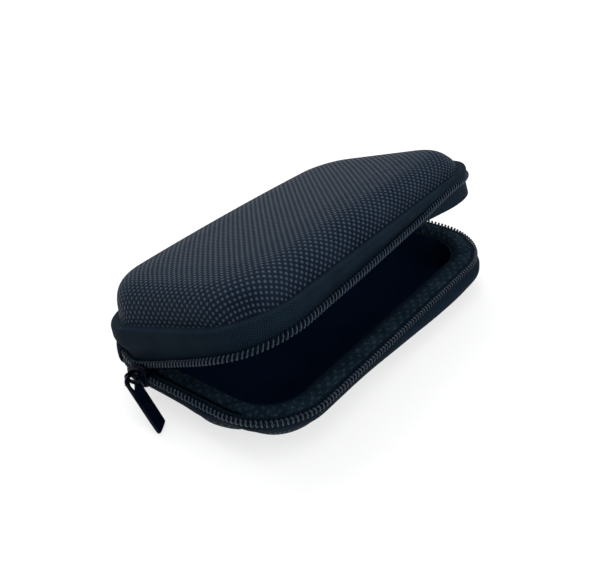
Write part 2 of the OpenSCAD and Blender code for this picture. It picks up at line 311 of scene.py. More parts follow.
def surface(
    name: str,
    points: np.ndarray,
    uv: np.ndarray | None = None,
    wrap: tuple[bool, bool] = (False, False),
    inside: Sequence[float] | None = None,
    solid: bool = False,
) -> bpy.types.Object:
    """Makes a mesh from a grid of points.

    Args:
        name: The piece's name.
        points: Grid in millimetres, (m, n, 3).
        uv: Cloth coordinates in millimetres, one more row or column where the grid wraps.
        wrap: Whether the last row joins the first one, and the last column the first one.
        inside: A point that the surface faces away from, its middle if none is given.
        solid: Whether the surface encloses a volume, which then settles the way it faces.

    Returns:
        The new object, smooth shaded, with doubles merged.
    """
    m, n = points.shape[:2]
    rows, columns = m - (not wrap[0]), n - (not wrap[1])
    i, j = (g.ravel() for g in np.meshgrid(np.arange(rows), np.arange(columns), indexing="ij"))
    corners = [(i, j), (i + 1, j), (i + 1, j + 1), (i, j + 1)]
    faces = np.stack([(a % m) * n + b % n for a, b in corners], axis=1)
    flat = points.reshape(-1, 3)
    quads = flat[faces]
    normal = np.cross(quads[:, 2] - quads[:, 0], quads[:, 3] - quads[:, 1])
    middle = quads.mean(axis=1) - (flat.mean(axis=0) if inside is None else np.asarray(inside, float))
    if float((normal * middle).sum()) < 0:
        corners = corners[::-1]
        faces = faces[:, ::-1]
    mesh = bpy.data.meshes.new(name)
    mesh.from_pydata((flat * MM).tolist(), [], faces.tolist())
    if uv is not None:
        layer = mesh.uv_layers.new(name="Cloth")
        loops = np.stack([uv[a, b] for a, b in corners], axis=1)
        layer.data.foreach_set("uv", loops.astype(np.float32).ravel())
    merge(mesh, solid)
    obj = bpy.data.objects.new(name, mesh)
    bpy.context.scene.collection.objects.link(obj)
    return obj


def merge(mesh: bpy.types.Mesh, solid: bool) -> None:
    """Joins points that lie on each other, shades the mesh smooth and turns a solid's faces outward."""
    work = bmesh.new()
    work.from_mesh(mesh)
    bmesh.ops.remove_doubles(work, verts=work.verts, dist=1e-6)
    bmesh.ops.dissolve_degenerate(work, edges=work.edges, dist=1e-7)
    for face in work.faces:
        face.smooth = True
    if solid:
        bmesh.ops.recalc_face_normals(work, faces=work.faces)
        if work.calc_volume(signed=True) < 0:
            bmesh.ops.reverse_faces(work, faces=work.faces)
    work.to_mesh(mesh)
    work.free()


def thickened(obj: bpy.types.Object, thickness: float, offset: float = 0.0) -> None:
    """Gives a sheet its thickness in millimetres; offset −1 keeps the sheet as the outer face."""
    modifier = obj.modifiers.new("thickness", "SOLIDIFY")
    modifier.thickness = thickness * MM
    modifier.offset = offset
    bpy.context.view_layer.update()
    mesh = bpy.data.meshes.new_from_object(obj.evaluated_get(bpy.context.evaluated_depsgraph_get()))
    obj.modifiers.clear()
    obj.data = mesh
    mesh.set_sharp_from_angle(angle=HARD_FOLD)


@dataclass(frozen=True)
class Dome:
    """Half section of a moulded half: a leaning wall, a round and a soft crown.

    u runs outward from the zip line and h from the parting plane. The wall passes foot at h = 0.
    """

    foot: float
    draft: float
    round_r: float
    top: float
    crown: float
    low: float
    core_r: float = 1.0
    lift: float = 0.0

    def section(self, t: float = 0.0) -> np.ndarray:
        """Points from the wall's foot to the middle, moved in by t, as rows of u, h and closeness.

        The wall is straight, the round is an arc tangent to wall and crown, and the crown an arc
        that ends level. Closeness is 0 out to the core and then grows to 1 at the centre line.
        """
        lean = math.radians(self.draft)
        wall = -self.foot - t / math.cos(lean)
        r = self.round_r - t
        span = ZIP.corner_r - self.core_r - self.foot - self.top * math.tan(lean)
        crown_r = (span * span + self.crown * self.crown) / (2 * self.crown)
        crown_c = np.array([self.core_r - ZIP.corner_r, self.top - crown_r])
        up = np.array([-math.sin(lean), math.cos(lean)])
        out = np.array([math.cos(lean), math.sin(lean)])
        start = np.array([wall, 0.0]) - out * r
        rel = start - crown_c
        reach = crown_r - t - r
        along = rel @ up
        mid = start + up * (-along + math.sqrt(along * along - rel @ rel + reach * reach))
        meet = math.atan2(mid[1] - crown_c[1], mid[0] - crown_c[0])
        foot = np.array([wall - self.low * math.tan(lean), self.low])
        wall_line = np.linspace(foot, mid + out * r, 14)[:-1]
        turn = np.linspace(lean, meet, 16)
        round_line = mid + r * np.stack([np.cos(turn), np.sin(turn)], axis=1)
        turn = np.linspace(meet, math.pi / 2, 14)[1:]
        crown_line = crown_c + (crown_r - t) * np.stack([np.cos(turn), np.sin(turn)], axis=1)
        outer = np.vstack([wall_line, round_line, crown_line])
        outer = np.column_stack([outer, np.zeros(len(outer))])
        close = np.linspace(0, 1, 10)[1:]
        middle = np.column_stack([np.full(9, outer[-1, 0]), np.full(9, outer[-1, 1]), close])
        section = np.vstack([outer, middle])
        plan = np.where(section[:, 2] > 0, 0.0, -section[:, 0] - self.foot) / span
        inward = 0.6 * np.clip(plan, 0, 1) ** 2 + 0.4 * section[:, 2] + 0.6 * (section[:, 2] > 0)
        section[:, 1] += self.lift * smoothstep(inward)
        return section

    def grid(self, s: np.ndarray, half: Half, t: float = 0.0, **shaping: Any) -> np.ndarray:
        """Closed-case places of the section carried round the zip line, shaped as carried does it."""
        return carried(self.section(t), s, half, **shaping)

    def cloth(self, s: np.ndarray, t: float = 0.0) -> np.ndarray:
        """Cloth coordinates: the plan of the spine with the section's length laid out along each ray."""
        section = self.section(t)
        run = lengths(section[:, :2])
        reach = run.max() - run + self.core_r * (1 - section[:, 2])
        centre, out = ZIP.spine(s)
        scale = np.stack([1 - section[:, 2] * ZIP.run_y / ZIP.run_x, 1 - section[:, 2]], axis=1)
        return centre[:, None] * scale[None] + out[:, None] * reach[None, :, None]


@dataclass(frozen=True)
class Form:
    """A soft hollow pressed into a moulded wall, a bell in both directions; a negative depth swells."""

    s: float
    h: float
    depth: float
    wide: float
    tall: float

    def inward(self, s: np.ndarray, h: np.ndarray) -> np.ndarray:
        """How far the wall is pressed in at each s and h."""
        off = np.mod(s - self.s + ZIP.marks[-1] / 2, ZIP.marks[-1]) - ZIP.marks[-1] / 2
        return self.depth * np.exp(-((off / self.wide) ** 2) - ((h - self.h) / self.tall) ** 2)


@dataclass(frozen=True)
class Tuck:
    """How the base's soft band and the wall below it tip in under the coil, from place to place.

    The inset is slope(s) × fade × tanh((h − start) / fade), where the slope passes through its stops,
    pairs of running length and slope.
    """

    stops: Path
    start: float = 2.6
    fade: float = 12.0

    def inward(self, s: np.ndarray, h: np.ndarray) -> np.ndarray:
        """How far band and wall are tipped in at each s and h."""
        slope = through(self.stops, np.mod(s, ZIP.marks[-1]))
        return slope * self.fade * np.tanh(np.maximum(h - self.start, 0) / self.fade)


@dataclass(frozen=True)
class Settle:
    """How the lid's soft top lies: higher toward the hinge, lower toward its right end."""

    rise: float = 0.58
    to_hinge: float = 0.032
    to_right: float = -0.019
    bow: float = -0.00027
    foot: float = 6.5
    full: float = 14.0

    def lift(self, x: np.ndarray, y: np.ndarray, h: np.ndarray) -> np.ndarray:
        """Rise of the wall and top at x, y and h; nothing at the foot, all of it at the top."""
        top = self.rise + self.to_hinge * y + self.to_right * x + self.bow * x * x
        return top * smoothstep((h - self.foot) / (self.full - self.foot))


def carried(
    section: np.ndarray,
    s: np.ndarray,
    half: Half,
    forms: Sequence[Form | Tuck] = (),
    settle: Settle | None = None,
) -> np.ndarray:
    """Carries rows of u, h and closeness round the zip line.

    A point is centre + outward × (corner radius + u). As closeness grows the centre shrinks toward
    the case's middle line and the ray's length goes to 0.

    Args:
        section: Rows of u, h and closeness.
        s: Running lengths to carry it to.
        half: Which way h points.
        forms: Hollows and tucks that change u.
        settle: How the top lies, where it isn't level.

    Returns:
        Places on the closed case, (len(s), len(section), 3).
    """
    centre, out = ZIP.spine(s)
    u = np.broadcast_to(section[:, 0], (len(s), len(section)))
    h = np.broadcast_to(section[:, 1], u.shape)
    close = section[:, 2]
    fade = 1 - smoothstep((-section[:, 0] - 9.0) / 8.0)
    for form in forms:
        u = u - form.inward(s[:, None], h) * fade
    scale = np.stack([1 - close * ZIP.run_y / ZIP.run_x, 1 - close], axis=1)
    ray = (ZIP.corner_r + u) * (1 - close)
    plan = centre[:, None] * scale[None] + out[:, None] * ray[..., None]
    if settle is not None:
        h = h + settle.lift(plan[..., 0], plan[..., 1], h)
    return np.concatenate([plan, (RIM_Z + half.value * h)[..., None]], axis=-1)


LID_COVER = Dome(foot=1.437, draft=10.3, round_r=8.6, top=17.2, crown=1.3, low=5.8, lift=0.5)
BASE_COVER = Dome(foot=0.334, draft=20.0, round_r=7.0, top=15.0, crown=0.05, low=6.9)
LID_CAVITY = Dome(foot=8.29, draft=12.0, round_r=6.0, top=14.4, crown=1.3, low=2.2, lift=0.3)
BASE_CAVITY = Dome(foot=8.20, draft=14.0, round_r=4.0, top=12.2, crown=0.05, low=2.2)
LID_FORMS = (
    Form(s=131.0, h=9.6, depth=1.3, wide=8.5, tall=3.2),
    Form(s=80.0, h=13.5, depth=1.2, wide=24.0, tall=6.0),
)
BASE_FORMS = (
    Tuck(
        ((55.0, 0.0), (97.0, 0.0), (105.0, -0.12), (111.0, 0.05), (117.0, 0.38), (123.0, 0.31), (131.0, 0.2),
         (143.0, 0.13), (172.0, 0.1), (190.0, 0.0))
    ),
    Form(s=227.0, h=6.5, depth=-3.5, wide=37.0, tall=4.2),
)


def operator(operation: str, reflected: bool = False) -> Callable[[Value, Any], Value]:
    """Makes a method of Value that adds one Math node; a reflected one has self on the right."""

    def method(self: Value, other: Any) -> Value:
        """Adds the node for self and other."""
        return self._math(operation, *((other, self) if reflected else (self, other)))

    return method


class Value:
    """One number on its way through a shader; the operators add Math nodes."""

    def __init__(self, graph: Graph, socket: bpy.types.NodeSocket) -> None:
        self.graph = graph
        self.socket = socket

    def _math(self, operation: str, *parts: Any) -> Value:
        """Adds one Math node of that operation on parts."""
        node = self.graph.node("ShaderNodeMath", {"operation": operation}, dict(enumerate(parts)))
        return Value(self.graph, node.outputs[0])

    __add__ = operator("ADD")
    __radd__ = operator("ADD", reflected=True)
    __sub__ = operator("SUBTRACT")
    __rsub__ = operator("SUBTRACT", reflected=True)
    __mul__ = operator("MULTIPLY")
    __rmul__ = operator("MULTIPLY", reflected=True)
    __pow__ = operator("POWER")
    at_least = operator("MAXIMUM")
    at_most = operator("MINIMUM")

    def __neg__(self) -> Value:
        """0 − self."""
        return 0.0 - self

    def sin(self) -> Value:
        """Sine of self in radians."""
        return self._math("SINE", self)


class Graph:
    """The nodes of one material, or of the world."""

    def __init__(self, name: str, family: Any = None, output: str = "ShaderNodeOutputMaterial") -> None:
        self.owner = bpy.data.materials.new(name) if family is None else family.new(name)
        self.owner.use_nodes = True
        self.tree = self.owner.node_tree
        self.tree.nodes.clear()
        self.output = self.node(output)

    def node(
        self, kind: str, settings: dict[str, Any] | None = None, inputs: dict[Any, Any] | None = None
    ) -> bpy.types.Node:
        """Adds a node.

        Args:
            kind: The node's type.
            settings: Properties set before anything is linked.
            inputs: Numbers, colours, sockets or Values by input name or index.

        Returns:
            The node.
        """
        node = self.tree.nodes.new(kind)
        for key, value in (settings or {}).items():
            setattr(node, key, value)
        for key, value in (inputs or {}).items():
            value = value.socket if isinstance(value, Value) else value
            if isinstance(value, bpy.types.NodeSocket):
                self.tree.links.new(value, node.inputs[key])
            else:
                node.inputs[key].default_value = value
        return node

    def cloth(self) -> tuple[Value, Value, bpy.types.NodeSocket]:
        """The piece's cloth coordinates in millimetres: along, across, and both as a vector."""
        uv = self.node("ShaderNodeUVMap", {"uv_map": "Cloth"}).outputs[0]
        parts = self.node("ShaderNodeSeparateXYZ", None, {0: uv})
        return Value(self, parts.outputs[0]), Value(self, parts.outputs[1]), uv

    def place(self) -> bpy.types.NodeSocket:
        """Object coordinates, in metres."""
        return self.node("ShaderNodeTexCoord").outputs["Object"]

    def noise(self, vector: bpy.types.NodeSocket, scale: float, detail: float = 2.0) -> Value:
        """Noise from 0 to 1; scale counts its lumps in one unit of the vector."""
        inputs = {"Vector": vector, "Scale": scale, "Detail": detail}
        return Value(self, self.node("ShaderNodeTexNoise", None, inputs).outputs[0])

    def colour(self, factor: Value, low: Triple, high: Triple) -> bpy.types.NodeSocket:
        """Mixes two colours by a number."""
        settings = {"data_type": "RGBA", "clamp_factor": True}
        mix = self.node("ShaderNodeMix", settings, {0: factor, 6: (*low, 1.0), 7: (*high, 1.0)})
        return mix.outputs[2]

    def bump(self, height: Value, distance: float) -> bpy.types.NodeSocket:
        """Normal of a relief whose height 1 stands distance millimetres proud."""
        inputs = {"Height": height, "Distance": distance * MM, "Strength": 1.0}
        return self.node("ShaderNodeBump", None, inputs).outputs[0]

    def end(self, shader: bpy.types.Node) -> bpy.types.Material | bpy.types.World:
        """Makes a shader what the graph gives out."""
        self.tree.links.new(shader.outputs[0], self.output.inputs[0])
        return self.owner

    def finish(self, **inputs: Any) -> bpy.types.Material:
        """Ends the graph in a Principled shader with cold highlights.

        Underscores in input names stand for spaces.
        """
        named = {key.replace("_", " "): value for key, value in inputs.items()}
        tints = {"Specular Tint": COLD, "Sheen Tint": COLD}
        return self.end(self.node("ShaderNodeBsdfPrincipled", None, named | tints))

    def mixed(
        self, factor: Value | bpy.types.NodeSocket, first: bpy.types.Node, second: bpy.types.Node
    ) -> bpy.types.Material | bpy.types.World:
        """Ends the graph in a mix of two shaders."""
        return self.end(
            self.node("ShaderNodeMixShader", None, {0: factor, 1: first.outputs[0], 2: second.outputs[0]})
        )


COLD = (0.55, 0.74, 1.0, 1.0)


@dataclass(frozen=True)
class WovenCover:
    """Coarse plain weave of flat satin yarns over the moulded halves."""

    yarn: float = 1.2
    dark: Triple = (0.0015, 0.0040, 0.0095)
    # lit is the colour painted on the raised dots: a painted highlight on every dot.
    lit: Triple = (0.036, 0.052, 0.074)
    relief: float = 0.35

    def material(self) -> bpy.types.Material:
        """Height is sin(πa)·sin(πb) over yarns a and b, so that every other crossing is a raised dot."""
        graph = Graph("woven_cover")
        along, across, uv = graph.cloth()
        wander = (graph.noise(uv, 0.12) - 0.5) * 0.5
        a = ((along + wander) * (math.pi / self.yarn)).sin()
        b = ((across + wander) * (math.pi / self.yarn)).sin()
        wave = a * b
        dot = wave.at_least(0.0)
        weft = (-wave).at_least(0.0)
        fibre = graph.noise(uv, 9.0, 3.0)
        height = dot ** 0.55 + 0.35 * (weft ** 0.7) + 0.12 * fibre
        patch = graph.noise(uv, 0.05, 3.0)
        # The raised dots take the lit colour as a painted highlight. Fibres and broad patches vary the tone
        # at random.
        shade = dot * 0.9 + 0.12 * fibre + 0.25 * (patch - 0.5)
        roughness = 0.62 - 0.26 * dot + 0.14 * (patch - 0.5) + 0.08 * (fibre - 0.5)
        return graph.finish(
            Base_Color=graph.colour(shade, self.dark, self.lit),
            Roughness=roughness,
            Normal=graph.bump(height, self.relief),
            Specular_IOR_Level=0.04,
            Sheen_Weight=0.005,
            Sheen_Roughness=0.45,
        )


@dataclass(frozen=True)
class TwillTape:
    """Fine twill of the zip tape and its rolled edges."""

    name: str = "zip_tape"
    relief: float = 0.15
    rib: float = 0.9
    dark: Triple = (0.0006, 0.0022, 0.0052)
    # lit is the colour painted on the raised yarns: a painted highlight, with the dark colour as painted
    # shade in the hollows.
    lit: Triple = (0.008, 0.0165, 0.026)

    def material(self) -> bpy.types.Material:
        """Slanting ribs cut across by yarns into a stipple, painted lighter on the raised yarns and darker
        between them as painted light and shade, with broad uneven patches of tone.
        """
        graph = Graph(self.name)
        along, across, uv = graph.cloth()
        wander = (graph.noise(uv, 0.3) - 0.5) * 0.35
        slant = ((along + across * 0.8 + wander) * (2 * math.pi / self.rib)).sin()
        yarn = ((across - along * 0.25 + wander) * (2 * math.pi / (self.rib * 0.8))).sin()
        fibre = graph.noise(uv, 7.0, 3.0)
        height = 0.4 + 0.08 * slant + 0.42 * slant * yarn + 0.3 * fibre
        patch = graph.noise(uv, 0.12, 3.0)
        # Colour follows the relief's height: a painted highlight on the raised yarns and painted shade
        # between them. Broad patches vary the tone at random.
        shade = height * 1.1 - 0.25 + 0.5 * (patch - 0.4)
        return graph.finish(
            Base_Color=graph.colour(shade, self.dark, self.lit),
            Roughness=0.72 - 0.12 * height + 0.1 * patch,
            Normal=graph.bump(height, self.relief),
            Specular_IOR_Level=0.025,
            Sheen_Weight=0.005,
            Sheen_Roughness=0.5,
        )


@dataclass(frozen=True)
class Velvet:
    """Short cut pile of the lining: soft uneven fuzz."""

    dark: Triple = (0.0014, 0.0062, 0.0185)
    lit: Triple = (0.0040, 0.0125, 0.0360)
    tuft: float = 0.3
    relief: float = 0.12

    def material(self) -> bpy.types.Material:
        """Two noises, one for tufts and one for the lie of the pile, in colour and relief."""
        graph = Graph("velvet")
        place = graph.place()
        tufts = graph.noise(place, 1.0 / (self.tuft * MM), 3.0)
        lie = graph.noise(place, 70.0, 2.0)
        shade = 1.5 * (tufts - 0.5) + 0.9 * (lie - 0.5) + 0.42
        return graph.finish(
            Base_Color=graph.colour(shade, self.dark, self.lit),
            Roughness=0.88 + 0.1 * (lie - 0.5),
            Normal=graph.bump(tufts + 0.6 * lie, self.relief),
            Specular_IOR_Level=0.02,
        )


@dataclass(frozen=True)
class Knit:
    """Brushed spacer knit of the rims: soft knops in rows on a dark ground, the knops painted lighter as
    their painted highlight.
    """

    spacing: float = 2.1
    dark: Triple = (0.0008, 0.0045, 0.0095)
    # lit is the colour painted on the raised knops: a painted highlight.
    lit: Triple = (0.026, 0.048, 0.066)
    relief: float = 0.5

    def material(self) -> bpy.types.Material:
        """Knops are where sin(πa)·sin(πb) is above 0; a and b wander, and fuzz breaks the knops up."""
        graph = Graph("rim_knit")
        along, across, uv = graph.cloth()
        wander = (graph.noise(uv, 0.5, 2.0) - 0.5) * 1.3
        a = ((along + wander) * (math.pi / self.spacing)).sin()
        b = ((across - wander) * (math.pi / self.spacing)).sin()
        knop = (a * b).at_least(0.0)
        fuzz = graph.noise(uv, 2.4, 4.0)
        lie = graph.noise(uv, 0.16, 2.0)
        # The knops take the lit colour as a painted highlight. Fuzz and the lie of the pile vary the tone at
        # random.
        shade = 0.7 * knop * fuzz + 1.6 * (fuzz - 0.42) + 0.7 * (lie - 0.45)
        return graph.finish(
            Base_Color=graph.colour(shade, self.dark, self.lit),
            Roughness=0.86 + 0.1 * (lie - 0.5),
            Normal=graph.bump(knop + fuzz, self.relief),
            Specular_IOR_Level=0.03,
            Sheen_Weight=0.02,
            Sheen_Roughness=0.4,
        )


@dataclass(frozen=True)
class Smooth:
    """Nylon, enamel or foam with a faint ripple and handling marks."""

    name: str
    dark: Triple
    lit: Triple
    roughness: float
    grain: float
    relief: float
    specular: float
    coat: float = 0.0

    def material(self) -> bpy.types.Material:
        """Noise varies colour, roughness and relief a little."""
        graph = Graph(self.name)
        place = graph.place()
        grain = graph.noise(place, 1.0 / (self.grain * MM), 3.0)
        marks = graph.noise(place, 260.0, 4.0)
        return graph.finish(
            Base_Color=graph.colour(1.6 * (marks - 0.5) + 0.4, self.dark, self.lit),
            Roughness=self.roughness + 0.16 * (marks - 0.5) + 0.08 * (grain - 0.5),
            Normal=graph.bump(grain, self.relief),
            Specular_IOR_Level=self.specular,
            Coat_Weight=self.coat,
            Coat_Roughness=0.12,
        )


NYLON = Smooth(
    "coil_nylon", (0.003, 0.006, 0.011), (0.008, 0.013, 0.021),
    roughness=0.26, grain=0.25, relief=0.02, specular=0.38,
)
THREAD = Smooth(
    "thread", (0.0006, 0.002, 0.004), (0.003, 0.006, 0.010),
    roughness=0.7, grain=0.2, relief=0.05, specular=0.05,
)
ENAMEL = Smooth(
    "enamel", (0.0003, 0.0008, 0.0030), (0.0014, 0.0026, 0.0060),
    roughness=0.16, grain=0.8, relief=0.012, specular=0.03, coat=0.03,
)
FOAM = Smooth(
    "foam", (0.010, 0.011, 0.013), (0.020, 0.021, 0.024),
    roughness=0.85, grain=0.5, relief=0.08, specular=0.1,
)


@dataclass(frozen=True)
class Finishes:
    """Every material of the case, made once."""

    cover: bpy.types.Material
    tape: bpy.types.Material
    hem: bpy.types.Material
    knit: bpy.types.Material
    velvet: bpy.types.Material
    nylon: bpy.types.Material
    thread: bpy.types.Material
    enamel: bpy.types.Material
    foam: bpy.types.Material

    @classmethod
    def made(cls) -> Finishes:
        """Makes the materials, in the order of the fields."""
        cloths = (WovenCover(), TwillTape(), TwillTape("folded_hem", 0.16), Knit(), Velvet())
        return cls(*(kind.material() for kind in (*cloths, NYLON, THREAD, ENAMEL, FOAM)))


def dress(
    obj: bpy.types.Object,
    material: bpy.types.Material,
    body: str | None = None,
    replaces: Sequence[str] = (),
) -> bpy.types.Object:
    """Gives a piece its material, the body it rides on and the nodes it stands for."""
    obj.data.materials.clear()
    obj.data.materials.append(material)
    if replaces:
        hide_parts(*replaces)
    if body is not None:
        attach(obj, body)
    log.info("%s: %d faces", obj.name, len(obj.data.polygons))
    return obj


@dataclass
class MouldedHalf:
    """Cover, foam, lining and padded rim of one half."""

    half: Half
    body: str
    cover: Dome
    cavity: Dome
    finishes: Finishes
    forms: Sequence[Form | Tuck] = ()
    settle: Settle | None = None
    cover_t: float = 0.6
    lining_t: float = 0.5
    pad_out: float = -1.3
    pad_clear: float = 2.15
    pad_in: float = -9.2
    pad_h: float = 1.35
    pad_t: float = 2.3
    pad_drop: float = 2.6
    pad_fill: float = 0.7
    pad_step: float = 1.2
    step: float = 2.0
    glue: float = 0.02

    def _opened(self, points: np.ndarray) -> np.ndarray:
        """Takes places of the closed case to the lid's rest turn, or leaves the base's alone."""
        return turned(points, 1.0) if self.half is Half.LID else points

    @property
    def _middle(self) -> list[float]:
        """A point inside the half, that its outer surfaces face away from."""
        return self._opened(np.array([0.0, 0.0, RIM_Z + self.half.value * 2.0])).tolist()

    def build(self) -> None:
        """Makes all four layers."""
        self._cover()
        self._foam()
        self._lining()
        self._pad()

    def _cover(self) -> None:
        """The woven cover, a sheet of cloth moulded over the foam."""
        s = ZIP.stations(self.step)
        points = self._opened(self.cover.grid(s[:-1], self.half, forms=self.forms, settle=self.settle))
        obj = surface(f"{self.body}_cover_cloth", points, self.cover.cloth(s), (True, False), self._middle)
        thickened(obj, self.cover_t, -1.0)
        dress(obj, self.finishes.cover, self.body, [f"{self.body}_cover"])

    def _foam(self) -> None:
        """The foam between cover and lining: both faces, joined over the rim, as one closed surface."""
        s = ZIP.stations(self.step)[:-1]
        inner = self.cavity.grid(s, self.half, -self.glue)[:, ::-1]
        outer = self.cover.grid(s, self.half, self.cover_t + self.glue, forms=self.forms, settle=self.settle)
        points = self._opened(np.concatenate([inner, outer], axis=1))
        obj = surface(f"{self.body}_foam", points, wrap=(True, False))
        dress(obj, self.finishes.foam, self.body, [f"{self.body}_shell"])

    def _lining(self) -> None:
        """The pile lining, pressed into the cavity."""
        s = ZIP.stations(self.step)[:-1]
        points = self._opened(self.cavity.grid(s, self.half, self.lining_t))
        obj = surface(f"{self.body}_pile_lining", points, None, (True, False), self._middle)
        thickened(obj, self.lining_t, 1.0)
        dress(obj, self.finishes.velvet, self.body, [f"{self.body}_lining"])

    def _pad(self) -> None:
        """The padded rim: a superellipse carried round, a little uneven as stuffed edges are.

        Its inner side rolls down into the hollow, and its outer side keeps clear of the slider's run.
        """
        s = ZIP.stations(self.pad_step)[:-1]
        marks = ZIP.marks
        around = circle(36)
        wide, tall = flattened(np.cos(around), 0.8), flattened(np.sin(around), 0.8)
        once = s * 2 * np.pi
        swell = 1 + 0.05 * np.sin(once * 9 / marks[-1]) + 0.03 * np.sin(once * 23 / marks[-1])
        run = smoothstep((s - marks[2] + 12.0) / 6.0) * smoothstep((marks[3] + 11.0 - s) / 6.0)
        outer = self.pad_out - self.pad_clear * run
        middle, reach = 0.5 * (outer + self.pad_in), 0.5 * (outer - self.pad_in)
        u = middle[:, None] + reach[:, None] * wide[None]
        h = self.pad_h + 0.5 * self.pad_t * tall[None] * swell[:, None]
        h = h + self.pad_drop * np.clip(-wide, 0, 1)[None] ** 2
        points = self._opened(ZIP.place(s[:, None], u, h, self.half))
        around_run = lengths(np.column_stack([u[0], h[0]])[np.arange(-1, len(around))])
        uv = cloth_uv(np.append(s, marks[-1]), around_run)
        obj = surface(f"{self.body}_rim_padding", points, uv, (True, True), solid=True)
        dress(obj, self.finishes.knit, self.body, [f"{self.body}_rim_pad"])


@dataclass
class ZipTape:
    """The cloth bands that carry the coils up to the ledges under the covers."""

    finishes: Finishes
    thickness: float = 0.7
    step: float = 1.5
    bulges: tuple[Form, ...] = (
        Form(s=236.0, h=4.2, depth=1.1, wide=22.0, tall=1.1),
        Form(s=70.0, h=3.7, depth=-1.0, wide=22.0, tall=1.0),
    )
    hold_from: float = 0.6
    hold_to: float = 6.3
    edge_rows: int = 6
    edge_trust: float = 4.0
    middle_trust: float = 0.1
    lid_path: Path = (
        (-1.4, 0.5), (-1.4, 2.4), (-1.15, 2.95), (-0.65, 3.5), (-0.1, 4.1), (0.26, 4.8), (0.28, 5.4),
        (0.12, 6.0), (-0.4, 6.25), (-1.3, 6.2), (-2.9, 6.1),
    )
    base_path: Path = (
        (-1.45, 0.5), (-1.45, 2.6), (-1.1, 3.3), (-0.45, 4.3), (-0.9, 5.6), (-1.35, 6.7), (-2.0, 7.25),
        (-3.4, 7.2),
    )

    def build(self) -> tuple[Vector, Vector]:
        """Makes the base's closed band and the lid's three stretches.

        The foot and the hem settle the measure, and the cloth between them only stretches.

        Returns:
            The start and end of the straight measure whose smooth step comes closest to the shares of the
            lid's turn that the left and right stretches took.
        """
        self._base()
        marks = ZIP.marks
        self._lid("lid_tape_rear", marks[8], marks[9] + marks[1], False)
        left, *at_left = self._lid("lid_tape_left", marks[1], marks[9] / 2, True)
        right, *at_right = self._lid("lid_tape_right", marks[9] / 2, marks[8], True)
        points, share = (np.concatenate(pair) for pair in zip(at_left, at_right))
        trust = np.full(share.shape[1], self.middle_trust)
        trust[: self.edge_rows] = trust[-self.edge_rows:] = self.edge_trust
        measure = best_blend(points, share, trust)
        for band in (left, right):
            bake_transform(band)
        return measure

    def _grid(self, path: Path, s: np.ndarray, half: Half) -> tuple[np.ndarray, np.ndarray, np.ndarray]:
        """The band's closed places, cloth coordinates and heights; it waves a little along the zip."""
        section = smoothed(path)
        wave = 0.10 * np.sin(s * 0.37) + 0.07 * np.sin(s * 0.83 + 1.0)
        loose = np.exp(-(((section[:, 1] - 4.4) / 1.4) ** 2))
        u = section[None, :, 0] + wave[:, None] * loose[None]
        h = np.broadcast_to(section[:, 1], u.shape)
        forms = BASE_FORMS if half is Half.BASE else self.bulges
        u = u - sum(form.inward(s[:, None], h) for form in forms)
        return ZIP.place(s[:, None], u, h, half), cloth_uv(s, lengths(section)), h

    def _base(self) -> None:
        """The base's band, all the way round."""
        s = ZIP.stations(self.step)
        points, uv, _ = self._grid(self.base_path, s, Half.BASE)
        obj = surface("base_tape_band", points[:-1], uv, (True, False), [0.0, 0.0, RIM_Z - 4.0])
        thickened(obj, self.thickness)
        dress(obj, self.finishes.tape, "base", ["base_tape"])

    def _lid(
        self, name: str, start: float, end: float, bends: bool
    ) -> tuple[bpy.types.Object, np.ndarray, np.ndarray]:
        """One stretch of the lid's band, its places and the share of the lid's turn that each took."""
        s = ZIP.stations(self.step, start, end)
        closed, uv, h = self._grid(self.lid_path, s, Half.LID)
        held = smoothstep((h - self.hold_from) / (self.hold_to - self.hold_from))
        points, share = TAPE_DROOP.opened(closed, s[:, None], held if bends else 1.0)
        obj = surface(name, points, uv, inside=turned(np.array([0.0, 0.0, RIM_Z + 4.0]), 1.0))
        thickened(obj, self.thickness)
        dress(obj, self.finishes.tape, None if bends else "lid", ["lid_tape"])
        return obj, points, np.broadcast_to(share, points.shape[:2])


